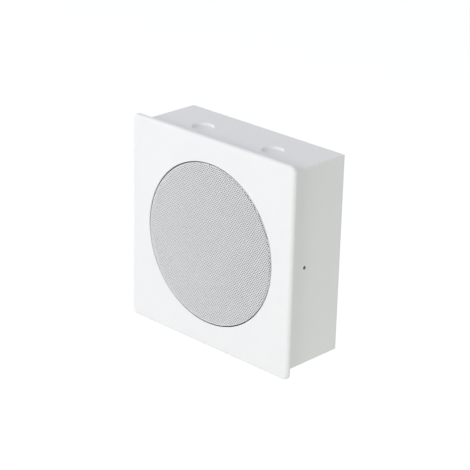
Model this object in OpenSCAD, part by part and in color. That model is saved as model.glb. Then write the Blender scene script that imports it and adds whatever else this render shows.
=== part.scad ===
// Flush wall loudspeaker for a public address system.
// A folded steel back box carries a pressed steel front panel with a round, slightly domed
// perforated grille. Behind it sit a paper cone driver, a line transformer and a terminal block.
// The origin is the centre of the box's rear face. The front looks along -Y and +Z is up.

/* [Front panel] */
// Width of the front panel
panel_w = 200; // [197:1:230]
// Height of the front panel
panel_h = 200; // [197:1:230]
// Thickness of the panel sheet
panel_t = 1.2; // [1:0.1:1.5]
// Depth of the turned-back rim, measured from the front face
rim_depth = 3.8; // [3.4:0.1:6]
// Outer radius of the bend round the rim
rim_bend_r = 3; // [2:0.1:3.2]
// Radius of the panel's corners, seen from the front
panel_corner_r = 6.5; // [6.4:0.1:12]
// Width of the flat face between the round opening and the panel's nearer edge
face_margin = 23.2; // [23:0.1:30]
// Radius on the front edge of the opening
opening_edge_r = 0.6; // [0.3:0.1:0.9]

/* [Back box] */
// Depth of the whole speaker from the panel's front face to the box's rear face
overall_d = 73; // [72:1:110]
// Distance by which the panel stands out past the box on each side
overhang = 6.8; // [5:0.1:7.8]
// Thickness of the box sheet
box_t = 1.2; // [1:0.1:1.5]
// Outer radius of the box's folds
fold_r = 2; // [1.6:0.1:3]
// Width of the flange folded in round the front of the box
flange_w = 7.5; // [6:0.1:8]
// Width of the open mitre where two front flanges meet
mitre_gap = 0.6; // [0.4:0.1:1.5]

/* [Openings in the box] */
// Diameter of the conduit knockouts
knockout_d = 20.6; // [16:0.1:25]
// Depth to which a knockout is pressed in
knockout_depth = 2.4; // [1:0.1:3]
// Thickness of the sheared web that still holds a knockout
knockout_web = 0.4; // [0.3:0.1:0.8]
// Distance of each knockout from the middle of the wall
knockout_x = 43.2; // [30:0.1:60]
// Distance of the knockouts behind the panel's front face
knockout_y = 34; // [20:0.5:45]
// Diameter of the fixing hole in each side wall
side_hole_d = 3.5; // [3:0.1:6]
// Distance of the side holes behind the panel's front face
side_hole_y = 25.1; // [16:0.1:50]
// Diameter of the four fixing holes in the rear wall
rear_hole_d = 5; // [4:0.1:7]
// Distance between the rear fixing holes, across
rear_hole_dx = 140; // [110:1:160]
// Distance between the rear fixing holes, up
rear_hole_dz = 140; // [110:1:160]

/* [Grille] */
// Thickness of the perforated grille sheet
grille_t = 0.6; // [0.5:0.1:1.2]
// Open groove between the grille and the edge of the opening
grille_gap = 0.9; // [0.5:0.1:2]
// Distance by which the middle of the dome stands proud of the panel
grille_proud = 4; // [3:0.1:8]
// Radius of the dome
dome_r = 850; // [700:10:1500]
// Outer radius of the bend at the grille's edge
grille_bend_r = 2.2; // [1.6:0.1:3]
// Diameter of one perforation
perf_d = 3.9; // [3:0.1:4]
// Distance between neighbouring perforations
perf_pitch = 6.5; // [6.3:0.1:9]
// Width of the plain band round the perforated field
perf_margin = 3; // [3:0.1:8]
// Thickness of the black foam seal between the panel and the grille's flange
seal_t = 1; // [0.8:0.1:2]
// Thickness of the dust cloth behind the grille
cloth_t = 0.4; // [0.3:0.1:0.6]

/* [Driver frame] */
// Width of the ring by which grille, gasket and driver overlap the panel round the opening
land_w = 6.2; // [5:0.1:6.5]
// Thickness of the driver's front gasket
gasket_t = 4; // [3.5:0.1:5]
// Width of the gasket ring
gasket_w = 7; // [4:0.1:9]
// Thickness of the pressed steel basket
basket_t = 1; // [0.8:0.1:1.5]
// Depth of the basket from its front flange to the shelf for the spider
shelf_d = 21.1; // [20:0.1:22]
// Depth of the basket from its front flange to the face of the top plate
basket_d = 32.6; // [31:0.1:33]
// Outer radius of the spider shelf
shelf_r = 47.5; // [46:0.5:50]
// Radius of the basket's neck below the shelf
neck_r = 33.5; // [32:0.1:34]
// Number of windows in the basket
window_n = 6; // [4:1:8]
// Width of the arms between two windows
arm_w = 12; // [8:0.5:16]

/* [Motor] */
// Diameter of the pole piece
pole_d = 24.4; // [24:0.1:24.6]
// Inner diameter of the voice coil former
former_d = 25; // [24.9:0.1:25.1]
// Thickness of the voice coil former
former_t = 0.25; // [0.2:0.05:0.3]
// Thickness of the winding on the former
winding_t = 0.45; // [0.3:0.05:0.5]
// Height of the winding
winding_h = 10; // [8:0.5:11]
// Clearance between the winding and the top plate
coil_clearance = 0.4; // [0.3:0.05:0.6]
// Outer diameter of the top plate and the back plate
plate_d = 72; // [70:1:78]
// Thickness of the top plate and the back plate
plate_t = 5; // [4:0.5:5]
// Outer diameter of the ferrite ring
magnet_d = 80; // [78:1:84]
// Inner diameter of the ferrite ring
magnet_bore_d = 40; // [34:1:46]
// Distance from the motor's rear to the rear face of the box
rear_space = 10; // [9:0.5:12]

/* [Cone] */
// Distance from the driver's outer edge in to the edge of the cone
cone_inset = 23; // [21:0.5:26]
// Width of the flat lip round the cone
cone_lip = 4; // [3:0.5:6]
// Depth of the cone from its lip to its neck
cone_depth = 17; // [15:0.5:18]
// Thickness of cone, surround and spider
paper_t = 0.5; // [0.4:0.05:0.6]
// Radius of the dust cap's foot
cap_foot_r = 18; // [16:0.5:22]
// Radius of the dust cap's dome
cap_dome_r = 24; // [23:0.5:40]

/* [Driver clamps] */
// Distance of the weld studs outside the driver's edge
stud_gap = 5.5; // [5:0.1:8]
// Diameter of the weld studs
stud_d = 4; // [3:0.5:5]
// Length of the weld studs
stud_len = 13; // [12:0.5:16]
// Thickness of the clamps
clamp_t = 1.5; // [1:0.1:2]
// Width of the clamps
clamp_w = 12; // [10:0.5:16]
// Width of the nuts across the flats
nut_af = 7; // [6:0.5:8]
// Thickness of the nuts
nut_t = 3.2; // [2.4:0.1:4]

/* [Panel clips] */
// Thickness of the spring clips
clip_t = 0.6; // [0.5:0.1:0.8]
// Width of the spring clips
clip_w = 12; // [8:1:16]
// Distance of the clips above and below the middle
clip_z = 52; // [52:1:60]
// Length of the clips behind the panel
clip_len = 13; // [10:0.5:18]
// Length of the clips' welded foot
clip_foot = 9; // [7:0.5:10]
// Distance by which a clip reaches behind the box's flange
clip_catch = 2; // [1.2:0.1:3]

/* [Line transformer] */
// Width of the laminated core
core_w = 42; // [40:1:48]
// Distance from the solder tags back to the front of the core
core_space = 5.4; // [4:0.1:8]
// Thickness of the lamination stack
core_stack = 16; // [14:1:18]
// Width of the core's middle leg
core_leg = 14; // [12:1:15]
// Width of the core's yokes
core_yoke = 7; // [6:0.5:8]
// Distance by which the coil stands out of the stack on each side
coil_bulge = 6; // [5:0.5:7]
// Thickness of the strap round the core
strap_t = 1; // [0.8:0.1:1.2]
// Distance of the core's middle from the lower wall of the box
core_from_wall = 24; // [22:1:27]

/* [Terminal block] */
// Number of poles on the terminal block
pole_n = 4; // [2:1:5]
// Distance between the poles
pole_pitch = 10; // [9:0.5:12]
// Height of the terminal block above the rear wall
block_h = 13; // [12:0.5:16]
// Depth of the terminal block along its wire ways
block_l = 18; // [16:1:24]
// Distance of the block's middle from the upper wall of the box
block_from_wall = 27; // [24:1:32]
// Diameter of the insulated wires
wire_d = 1.8; // [1.4:0.1:2.2]

/* [Hidden] */
$fn = 72;

// Colours as the finishes show
white_coat = [0.94, 0.94, 0.94];
zinc = [0.72, 0.73, 0.74];
dark_steel = [0.32, 0.33, 0.35];
brass = [0.78, 0.64, 0.33];

// Small clearances and overlaps
seat_gap = 0.3;
glue_gap = 0.1;
past = 2;

// Main planes, as y values from the front to the rear
y_front = -overall_d;
y_panel_back = y_front + panel_t;
y_grille_flange = y_panel_back + seal_t;
y_cloth = y_grille_flange + grille_t;
y_gasket = y_cloth + cloth_t;
y_flange = y_gasket + gasket_t;
y_shelf = y_flange + shelf_d;
y_top_plate = y_flange + basket_d;
y_magnet = y_top_plate + plate_t;
y_motor_end = -rear_space;
y_back_plate = y_motor_end - plate_t;
y_rear_inside = -box_t;

// Box and opening
box_w = panel_w - 2 * overhang;
box_h = panel_h - 2 * overhang;
box_d = overall_d - panel_t;
opening_r = min(panel_w, panel_h) / 2 - face_margin;
land_r = opening_r + land_w;

// Grille: the bend is tangent to the dome on the inside
grille_r = opening_r - grille_gap;
y_apex = y_front - grille_proud;
dome_centre_y = y_apex + dome_r;
bend_centre_r = grille_r - grille_bend_r;
bend_centre_y = dome_centre_y - sqrt(pow(dome_r - grille_bend_r, 2) - pow(bend_centre_r, 2));
perf_field_r = grille_r - perf_margin;

// Driver
cone_r = land_r - cone_inset;
cone_neck_r = former_d / 2 + former_t;
y_lip = y_flange;
y_neck = y_lip + cone_depth;
surround_in_r = cone_r + 0.5;
surround_out_r = land_r - 11.5;
surround_land_r = land_r - gasket_w - seat_gap;
surround_dip = 1.2;
spider_in_r = cone_neck_r + 2;
spider_out_r = neck_r - 0.5;
spider_land_r = neck_r + 5.5;
spider_wave = 0.9;
coil_mid_y = y_top_plate + plate_t / 2;
gap_r = cone_neck_r + winding_t + coil_clearance;
basket_lip_w = 11;
window_in_r = shelf_r + 3;
window_out_r = land_r - 15;

// Clamps and clips
stud_r = land_r + stud_gap;
stud_pos = stud_r / sqrt(2);
clamp_in_r = land_r - 5;
clamp_out_r = stud_r + 5.5;
y_clamp = y_flange + basket_t;
flange_edge_x = box_w / 2 - flange_w;
clip_x = flange_edge_x - seat_gap;

// Terminal board on the basket
board_w = 22;
board_t = 1.6;
board_in = neck_r + basket_t + seat_gap + 3.5;
board_out = (window_in_r + window_out_r) / 2 - 3.25;
rivet_r = 1.2;
rivet_at = [7, -(shelf_r - 4.5)];
tag_x = 6;
tag_w = 4;
tag_t = 0.5;
tag_l = 11;
tag_reach = 3;
y_board = y_shelf + basket_t;
y_tag = y_board + board_t;

// Transformer and terminal block on the rear wall
core_z = -(box_h / 2 - core_from_wall);
y_core = y_tag + tag_t + core_space;
core_h = y_rear_inside - y_core;
coil_half_z = core_stack / 2 + coil_bulge;
bobbin_t = 0.8;
strap_w = core_stack - 2;
foot_x = core_w / 2 + strap_t + 5;
block_z = box_h / 2 - block_from_wall;
block_w = pole_n * pole_pitch;
way_y = y_rear_inside - block_h / 2 - 0.5;

// A ring of signs for pieces that stand in four places
four = [[-1, -1], [1, -1], [-1, 1], [1, 1]];

// Turns a profile drawn as (radius, y) about the Y axis
module turned(fn = 120) {
    rotate([-90, 0, 0]) rotate_extrude($fn = fn) children();
}

// Extrudes a profile drawn as (x, z) from y0 back to y1
module along_y(y0, y1) {
    translate([0, y1, 0]) rotate([90, 0, 0]) linear_extrude(y1 - y0) children();
}

// Extrudes a profile drawn as (y, z) over a length centred on x = 0
module along_x(length) {
    rotate([90, 0, 90]) translate([0, 0, -length / 2]) linear_extrude(length) children();
}

// Round bar along Y
module rod_y(r, y0, y1, fn = 48) {
    translate([0, y1, 0]) rotate([90, 0, 0]) cylinder(r = r, h = y1 - y0, $fn = fn);
}

// Round bar along Z
module rod_z(r, z0, z1, fn = 32) {
    translate([0, 0, z0]) cylinder(r = r, h = z1 - z0, $fn = fn);
}

// Rectangle with round corners
module rounded_rect(w, h, r) {
    square([w - 2 * r, h], center = true);
    square([w, h - 2 * r], center = true);
    for (s = four) translate([s[0] * (w / 2 - r), s[1] * (h / 2 - r)]) circle(r, $fn = 48);
}

// Shifts every point of a path sideways by d, with mitred corners
function unit(v) = v / norm(v);
function right_of(v) = [v[1], -v[0]];
function mitre(a, b) = let (s = unit(a) + unit(b)) unit(right_of(s));
function side_step(p, i, d) =
    let (last = len(p) - 1)
    let (before = i == 0 ? p[1] - p[0] : p[i] - p[i - 1])
    let (after = i == last ? p[last] - p[last - 1] : p[i + 1] - p[i])
    let (m = mitre(before, after))
    p[i] + m * d / (m * right_of(unit(after)));
function side_path(p, d) = [for (i = [0:len(p) - 1]) side_step(p, i, d)];
function reversed(p) = [for (i = [len(p) - 1:-1:0]) p[i]];

// Flat strip of thickness d on the right-hand side of a path
module strip(path, d) {
    polygon(concat(path, reversed(side_path(path, d))));
}

// Smooth curve through round points, n steps between two of them
function ease(a, b, c, d, t) =
    0.5 * (2 * b + (c - a) * t + (2 * a - 5 * b + 4 * c - d) * t * t + (3 * b - a - 3 * c + d) * t * t * t);
function curve(p, n) = let (last = len(p) - 1) concat(
    [for (i = [0:last - 1], k = [0:n - 1])
        ease(p[max(i - 1, 0)], p[i], p[i + 1], p[min(i + 2, last)], k / n)],
    [p[last]]);

// Round wire along points that stay roughly in a plane of constant x
module wire(points, d, sides = 8) {
    last = len(points) - 1;
    rings = [for (i = [0:last])
        let (t = unit(points[min(i + 1, last)] - points[max(i - 1, 0)]))
        let (u = unit(cross(t, [1, 0, 0])))
        let (v = cross(u, t))
        for (k = [0:sides - 1]) points[i] + d / 2 * (u * cos(k * 360 / sides) + v * sin(k * 360 / sides))];
    walls = [for (i = [0:last - 1], k = [0:sides - 1])
        let (a = i * sides + k, b = i * sides + (k + 1) % sides)
        [a, b, b + sides, a + sides]];
    ends = [[for (k = [sides - 1:-1:0]) k], [for (k = [0:sides - 1]) last * sides + k]];
    polyhedron(points = rings, faces = concat(walls, ends));
}

// Folded box body, shrunk by inset on every side
module box_body(inset) {
    r = fold_r - inset;
    intersection() {
        along_x(box_w - 2 * inset) translate([-box_d / 2, 0])
            rounded_rect(box_d - 2 * inset, box_h - 2 * inset, r);
        translate([0, -box_d / 2, -box_h / 2 - past]) linear_extrude(box_h + 2 * past)
            rounded_rect(box_w - 2 * inset, box_d - 2 * inset, r);
    }
}

// Places a child on the outer face of the upper and the lower wall at both knockouts
module at_knockouts() {
    for (s = four) translate([s[0] * knockout_x, y_front + knockout_y, 0])
        mirror([0, 0, s[1] < 0 ? 1 : 0]) translate([0, 0, box_h / 2]) children();
}

module back_box() color(white_coat) difference() {
    union() {
        difference() {
            box_body(0);
            box_body(box_t);
        }
        at_knockouts()
            rod_z(knockout_d / 2 + knockout_web, -knockout_depth - box_t, -box_t / 2, 64);
    }
    at_knockouts() rod_z(knockout_d / 2, -knockout_depth, past, 64);
    along_y(-box_d - past, -box_d + box_t + past)
        square([box_w - 2 * flange_w, box_h - 2 * flange_w], center = true);
    for (s = four) rotate([0, s[0] * s[1] > 0 ? -45 : 45, 0])
        translate([0, -box_d, 0]) mitre_slit(s[0]);
    translate([0, y_front + side_hole_y, 0]) rotate([0, 90, 0])
        cylinder(d = side_hole_d, h = box_w + past, center = true);
    for (s = four) translate([s[0] * rear_hole_dx / 2, 0, s[1] * rear_hole_dz / 2])
        rod_y(rear_hole_d / 2, -box_t - past, past);
    for (s = [-1, 1]) {
        translate([s * foot_x, 0, core_z]) rod_y(1.4, -box_t - past, past);
        translate([s * pole_pitch, 0, block_z]) rod_y(1.4, -box_t - past, past);
    }
}

// Narrow cut along the diagonal through two meeting flanges
module mitre_slit(side) {
    diagonal = norm([box_w / 2, box_h / 2]);
    length = flange_w * sqrt(2) - fold_r;
    translate([side * (diagonal - flange_w * sqrt(2) + length / 2 - 0.5), 0, 0])
        cube([length, 2 * (box_t + 0.2), mitre_gap], center = true);
}

// Outline of the rim in section: u runs outwards from the corner's centre, y to the rear
module rim_outline(reach, edge, y0, y1) {
    intersection() {
        union() {
            translate([0, y0]) square([reach - edge, y1 - y0]);
            translate([reach - edge, y0 + edge]) circle(edge);
            translate([0, y0 + edge]) square([reach, y1 - y0 - edge]);
        }
        translate([0, y0]) square([reach, y1 - y0]);
    }
}

// Sheet section of the rolled rim, drawn as (u, y)
module rim_section() {
    difference() {
        rim_outline(panel_corner_r, rim_bend_r, y_front, y_front + rim_depth);
        rim_outline(panel_corner_r - panel_t, rim_bend_r - panel_t, y_panel_back,
            y_front + rim_depth + past);
    }
}

// Pressed sheet: a flat middle, four straight rims and four round corners
module pressed_sheet() {
    side_x = panel_w / 2 - panel_corner_r;
    side_z = panel_h / 2 - panel_corner_r;
    along_y(y_front, y_panel_back) square([2 * side_x, 2 * side_z], center = true);
    for (a = [0, 180]) rotate([0, a, 0]) {
        translate([side_x, 0, -side_z]) linear_extrude(2 * side_z) rim_section();
        rotate([0, -90, 0]) translate([side_z, 0, -side_x]) linear_extrude(2 * side_x) rim_section();
    }
    for (s = four) mirror([s[0] < 0 ? 1 : 0, 0, 0]) mirror([0, 0, s[1] > 0 ? 1 : 0])
        translate([side_x, 0, -side_z]) rotate([-90, 0, 0]) rotate_extrude(angle = 90) rim_section();
}

// Ring that rounds the front edge of the opening
module opening_edge() {
    r = opening_edge_r;
    turned(144) difference() {
        translate([opening_r - past, y_front - past]) square([r + past, r + past]);
        translate([opening_r + r, y_front + r]) circle(r, $fn = 48);
        translate([opening_r + r, y_front - past]) square([past, r + 2 * past]);
    }
}

module front_panel() color(white_coat) difference() {
    pressed_sheet();
    rod_y(opening_r, y_front - past, y_panel_back + past, 144);
    opening_edge();
}

// Section of the solid dome, drawn as (radius, y) and shrunk by inset
module dome_section(inset) {
    reach = bend_centre_r;
    intersection() {
        translate([0, dome_centre_y]) circle(dome_r - inset, $fn = 1440);
        translate([0, y_apex]) square([reach, bend_centre_y - y_apex + past]);
    }
    translate([bend_centre_r, bend_centre_y]) circle(grille_bend_r - inset, $fn = 48);
    translate([0, bend_centre_y]) square([grille_r - inset, y_cloth - bend_centre_y + inset]);
}

// Points of the staggered perforation pattern, rows across
perf_row = perf_pitch * sqrt(3) / 2;
perf_rows = floor(perf_field_r / perf_row);
perf_cols = ceil(perf_field_r / perf_pitch);
perf_points = [for (j = [-perf_rows:perf_rows], i = [-perf_cols:perf_cols])
    let (p = [(i + abs(j) % 2 / 2) * perf_pitch, j * perf_row])
    if (norm(p) + perf_d / 2 <= perf_field_r) p];

module grille() color([0.8, 0.8, 0.82]) difference() {
    turned(144) {
        difference() {
            dome_section(0);
            dome_section(grille_t);
            translate([0, y_cloth]) square([grille_r + past, 2 * past]);
        }
        translate([grille_r - grille_t, y_grille_flange]) square([land_r - grille_r + grille_t, grille_t]);
    }
    along_y(y_apex - past, y_panel_back)
        for (p = perf_points) translate(p) circle(perf_d / 2, $fn = 16);
}

module grille_seal() color([0.1, 0.1, 0.1]) difference() {
    rod_y(land_r, y_panel_back, y_grille_flange, 120);
    rod_y(grille_r + glue_gap, y_panel_back - past, y_grille_flange + past, 120);
}

module grille_cloth() color([0.12, 0.12, 0.13]) rod_y(land_r, y_cloth, y_gasket, 120);

// One spring clip as (x, y): foot on the panel, leg past the flange, detent, lead-in
module panel_clips() color(zinc) for (s = four) mirror([s[0] < 0 ? 1 : 0, 0, 0])
    translate([0, 0, s[1] * clip_z - clip_w / 2]) linear_extrude(clip_w)
        strip([
            [clip_x - clip_foot, y_panel_back],
            [clip_x - clip_t, y_panel_back],
            [clip_x, y_panel_back + clip_t],
            [clip_x, y_panel_back + box_t + seat_gap],
            [clip_x + clip_catch, y_panel_back + box_t + seat_gap + clip_catch],
            [clip_x + clip_catch, y_panel_back + box_t + seat_gap + clip_catch + 1.2],
            [clip_x - clip_catch, y_panel_back + clip_len]
        ], -clip_t);

module weld_studs() color(zinc) for (s = four) translate([s[0] * stud_pos, 0, s[1] * stud_pos])
    difference() {
        union() {
            rod_y(stud_d / 2, y_panel_back, y_panel_back + stud_len);
            rod_y(stud_d / 2 + 0.7, y_panel_back, y_panel_back + 0.8);
        }
        translate([0, y_panel_back + stud_len, 0]) stud_chamfer();
    }

// Ring that bevels the free end of a stud
module stud_chamfer() {
    turned(48) polygon([[stud_d / 2 - 0.5, past], [stud_d / 2 - 0.5, 0],
        [stud_d / 2 + 0.2, -0.7], [stud_d / 2 + past, -0.7], [stud_d / 2 + past, past]]);
}

// Places a child on the four diagonals, with its x pointing outwards
module on_diagonals() {
    for (a = [45:90:315]) rotate([0, a, 0]) children();
}

module driver_clamps() color(zinc) on_diagonals() difference() {
    translate([0, 0, -clamp_w / 2]) linear_extrude(clamp_w)
        strip([
            [clamp_out_r - clamp_t, y_panel_back],
            [clamp_out_r - clamp_t, y_clamp],
            [clamp_in_r, y_clamp]
        ], clamp_t);
    translate([stud_r, 0, 0]) rod_y(stud_d / 2 + 0.25, y_clamp - past, y_clamp + clamp_t + past);
}

module clamp_nuts() color(zinc) on_diagonals() translate([stud_r, 0, 0]) difference() {
    rod_y(nut_af / sqrt(3), y_clamp + clamp_t, y_clamp + clamp_t + nut_t, 6);
    rod_y(stud_d / 2 + 0.05, y_clamp, y_clamp + clamp_t + nut_t + past);
}

module driver_gasket() color([0.2, 0.2, 0.2]) difference() {
    rod_y(land_r, y_gasket, y_flange, 120);
    rod_y(land_r - gasket_w, y_gasket - past, y_flange + past, 120);
}

// Ring sectors between the arms of the basket, drawn as (x, z)
module window_shape() {
    difference() {
        circle(window_out_r, $fn = 96);
        circle(window_in_r, $fn = 96);
        for (i = [0:window_n - 1]) rotate(90 + i * 360 / window_n + 180 / window_n)
            translate([0, -arm_w / 2]) square([window_out_r + past, arm_w]);
    }
}

module basket() color(dark_steel) difference() {
    turned(120) strip([
        [land_r, y_flange],
        [land_r - basket_lip_w, y_flange],
        [land_r - basket_lip_w - 1.5, y_flange + 2.1],
        [shelf_r, y_shelf],
        [neck_r, y_shelf],
        [neck_r, y_top_plate - basket_t],
        [gap_r + 2.4, y_top_plate - basket_t]
    ], basket_t);
    along_y(y_flange + basket_t + past, y_shelf + basket_t + past) window_shape();
    for (s = [-1, 1]) translate([s * rivet_at[0], 0, rivet_at[1]])
        rod_y(rivet_r + 0.1, y_shelf - past, y_shelf + past);
}

// Surround with two soft rolls, from the basket's flange to the cone's lip
module surround() color([0.16, 0.16, 0.16]) turned(120) strip(concat(
    [[surround_land_r, y_flange - paper_t]],
    [for (k = [0:16]) [
        surround_out_r + (surround_in_r - surround_out_r) * k / 16,
        y_flange - paper_t + surround_dip * (1 - cos(k * 720 / 16))]],
    [[cone_r - cone_lip + 0.5, y_flange - paper_t]]
), paper_t);

// Place of the leads' end along the cone's profile
tinsel_d = 0.9;
lead_foot_z = 26;
lead_s = (norm([tag_x, lead_foot_z]) - cone_neck_r) / (cone_r - cone_lip - cone_neck_r);

// Flared profile of the cone from its neck at 0 to its lip at 1
function cone_point(s) = [
    cone_neck_r + (cone_r - cone_lip - cone_neck_r) * s,
    y_neck + (y_lip - y_neck) * pow(s, 0.8)];

module cone() color([0.22, 0.22, 0.23]) turned(120) difference() {
    strip(concat([[cone_r, y_lip]], [for (k = [10:-1:0]) cone_point(k / 10)]), paper_t);
    square([2 * cone_neck_r, 2 * overall_d], center = true);
}

module dust_cap() color([0.15, 0.15, 0.15]) {
    s = (cap_foot_r - cone_neck_r) / (cone_r - cone_lip - cone_neck_r);
    foot_y = cone_point(s)[1] - glue_gap;
    centre_y = foot_y + sqrt(cap_dome_r * cap_dome_r - cap_foot_r * cap_foot_r);
    turned(96) intersection() {
        difference() {
            translate([0, centre_y]) circle(cap_dome_r, $fn = 144);
            translate([0, centre_y]) circle(cap_dome_r - paper_t, $fn = 144);
        }
        translate([0, foot_y - cap_dome_r]) square([cap_foot_r + past, cap_dome_r]);
    }
}

// Corrugated spider, glued to the former and to the basket's shelf
module spider() color([0.75, 0.55, 0.25]) turned(120) difference() {
    strip(concat(
        [[spider_land_r, y_shelf - paper_t]],
        [for (k = [0:32]) [
            spider_out_r + (spider_in_r - spider_out_r) * k / 32,
            y_shelf - paper_t - spider_wave * (1 - cos(k * 1440 / 32)) / 2]],
        [[cone_neck_r - paper_t, y_shelf - paper_t]]
    ), paper_t);
    square([2 * cone_neck_r, 2 * overall_d], center = true);
}

module tube_y(r, t, y0, y1) difference() {
    rod_y(r + t, y0, y1, 96);
    rod_y(r, y0 - past, y1 + past, 96);
}

module coil_former() color([0.85, 0.85, 0.8])
    tube_y(former_d / 2, former_t, y_neck - 1.5, coil_mid_y + winding_h / 2 + 0.5);

module voice_coil() color([0.72, 0.42, 0.22])
    tube_y(cone_neck_r, winding_t, coil_mid_y - winding_h / 2, coil_mid_y + winding_h / 2);

module top_plate() color(zinc) difference() {
    rod_y(plate_d / 2, y_top_plate, y_magnet, 96);
    rod_y(gap_r, y_top_plate - past, y_magnet + past, 96);
}

module magnet() color([0.13, 0.13, 0.14]) turned(120) polygon([
    [magnet_bore_d / 2, y_magnet],
    [magnet_d / 2 - 1, y_magnet],
    [magnet_d / 2, y_magnet + 1],
    [magnet_d / 2, y_back_plate - 1],
    [magnet_d / 2 - 1, y_back_plate],
    [magnet_bore_d / 2, y_back_plate]
]);

module yoke() color(zinc) turned(96) polygon([
    [0, y_top_plate],
    [pole_d / 2 - 0.5, y_top_plate],
    [pole_d / 2, y_top_plate + 0.5],
    [pole_d / 2, y_magnet + 1],
    [pole_d / 2 - 0.8, y_magnet + 2],
    [pole_d / 2 - 0.8, y_back_plate],
    [plate_d / 2, y_back_plate],
    [plate_d / 2, y_motor_end - 1.5],
    [plate_d / 2 - 1.5, y_motor_end],
    [0, y_motor_end]
]);

module terminal_board() color([0.55, 0.38, 0.22]) difference() {
    translate([-board_w / 2, y_board, -board_out]) cube([board_w, board_t, board_out - board_in]);
    for (s = [-1, 1]) translate([s * rivet_at[0], 0, rivet_at[1]])
        rod_y(rivet_r + 0.1, y_board - past, y_board + past + board_t);
}

module board_rivets() color(brass) for (s = [-1, 1])
    translate([s * rivet_at[0], 0, rivet_at[1]]) {
        rod_y(rivet_r, y_shelf, y_tag);
        rod_y(rivet_r + 0.8, y_shelf - 0.6, y_shelf);
        rod_y(rivet_r + 0.8, y_tag, y_tag + 0.6);
    }

module solder_tags() color(brass) for (s = [-1, 1]) difference() {
    translate([s * tag_x - tag_w / 2, y_tag, -board_out - tag_reach])
        cube([tag_w, tag_t, tag_l]);
    translate([s * tag_x, 0, -board_out - tag_reach + tag_w * 0.4]) rod_y(0.7, y_tag - past, y_tag + past);
}

// Flexible leads from the solder tags through a basket window to the cone's rear side
module tinsel_leads() color([0.8, 0.6, 0.4]) for (s = [-1, 1]) wire(curve([
    [s * tag_x, y_tag + tag_t + tinsel_d * 0.55, -board_out - tag_reach + tag_w / 2],
    [s * tag_x, y_tag + tinsel_d / 4, -board_out - tag_reach - tinsel_d * 1.8],
    [s * tag_x, y_board - board_t * 2, -board_out - tag_reach - tinsel_d * 1.8],
    [s * tag_x, y_shelf - shelf_d / 3, -board_out + tag_reach],
    [s * tag_x, y_shelf - shelf_d * 0.28, -shelf_r + tinsel_d * 6],
    [s * tag_x, y_shelf - shelf_d * 0.28, -neck_r],
    [s * tag_x, cone_point(lead_s)[1] + paper_t + seat_gap, -lead_foot_z]
], 4), tinsel_d, 6);

module transformer_core() color(dark_steel) translate([0, y_core, core_z]) difference() {
    translate([-core_w / 2, 0, -core_stack / 2]) cube([core_w, core_h, core_stack]);
    for (s = [-1, 1]) translate([s * (core_leg / 2 + core_window_w() / 2), core_h / 2, 0])
        cube([core_window_w(), core_h - 2 * core_yoke, core_stack + past], center = true);
}
function core_window_w() = core_w / 2 - core_yoke - core_leg / 2;

// Rectangular tube round the core's middle leg
module leg_tube(wall_in, wall_out_x, wall_out_z, y0, y1) difference() {
    translate([-core_leg / 2 - wall_out_x, y0, core_z - core_stack / 2 - wall_out_z])
        cube([core_leg + 2 * wall_out_x, y1 - y0, core_stack + 2 * wall_out_z]);
    translate([-core_leg / 2 - wall_in, y0 - past, core_z - core_stack / 2 - wall_in])
        cube([core_leg + 2 * wall_in, y1 - y0 + 2 * past, core_stack + 2 * wall_in]);
}

y_window_0 = y_core + core_yoke + seat_gap;
y_window_1 = y_core + core_h - core_yoke - seat_gap;
window_reach = core_window_w() - seat_gap;

module transformer_bobbin() color([0.9, 0.88, 0.8]) {
    leg_tube(0.2, 0.2 + bobbin_t, 0.2 + bobbin_t, y_window_0, y_window_1);
    leg_tube(0.2, window_reach, coil_bulge, y_window_0, y_window_0 + bobbin_t);
    leg_tube(0.2, window_reach, coil_bulge, y_window_1 - bobbin_t, y_window_1);
}

module transformer_coil() color([0.85, 0.7, 0.25])
    leg_tube(0.3 + bobbin_t, window_reach - 0.4, coil_bulge - 0.6,
        y_window_0 + bobbin_t + 0.1, y_window_1 - bobbin_t - 0.1);

// Steel strap over the core with a foot on each side
module transformer_strap() color(zinc) difference() {
    side = core_w / 2 + 0.1;
    translate([0, 0, core_z - strap_w / 2]) linear_extrude(strap_w)
        strip([
            [-foot_x - 4, y_rear_inside - strap_t],
            [-side - strap_t, y_rear_inside - strap_t],
            [-side - strap_t, y_core - 0.1 - strap_t],
            [side + strap_t, y_core - 0.1 - strap_t],
            [side + strap_t, y_rear_inside - strap_t],
            [foot_x + 4, y_rear_inside - strap_t]
        ], -strap_t);
    for (s = [-1, 1]) translate([s * foot_x, 0, core_z])
        rod_y(1.7, y_rear_inside - strap_t - past, y_rear_inside + past);
}

// Pan-head screw along Y with its head's seat at y = 0 and a cross recess
module pan_screw(r, length) {
    difference() {
        union() {
            rod_y(r, 0, length);
            turned(48) polygon([[0, 0], [2 * r, 0], [2 * r, -r * 0.6], [1.5 * r, -r], [0, -r]]);
        }
        translate([0, -r, 0]) cube([2.2 * r, r, 0.4 * r], center = true);
        translate([0, -r, 0]) cube([0.4 * r, r, 2.2 * r], center = true);
    }
}

module transformer_screws() color(zinc) for (s = [-1, 1])
    translate([s * foot_x, y_rear_inside - strap_t, core_z]) pan_screw(1.35, strap_t + box_t);

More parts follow.
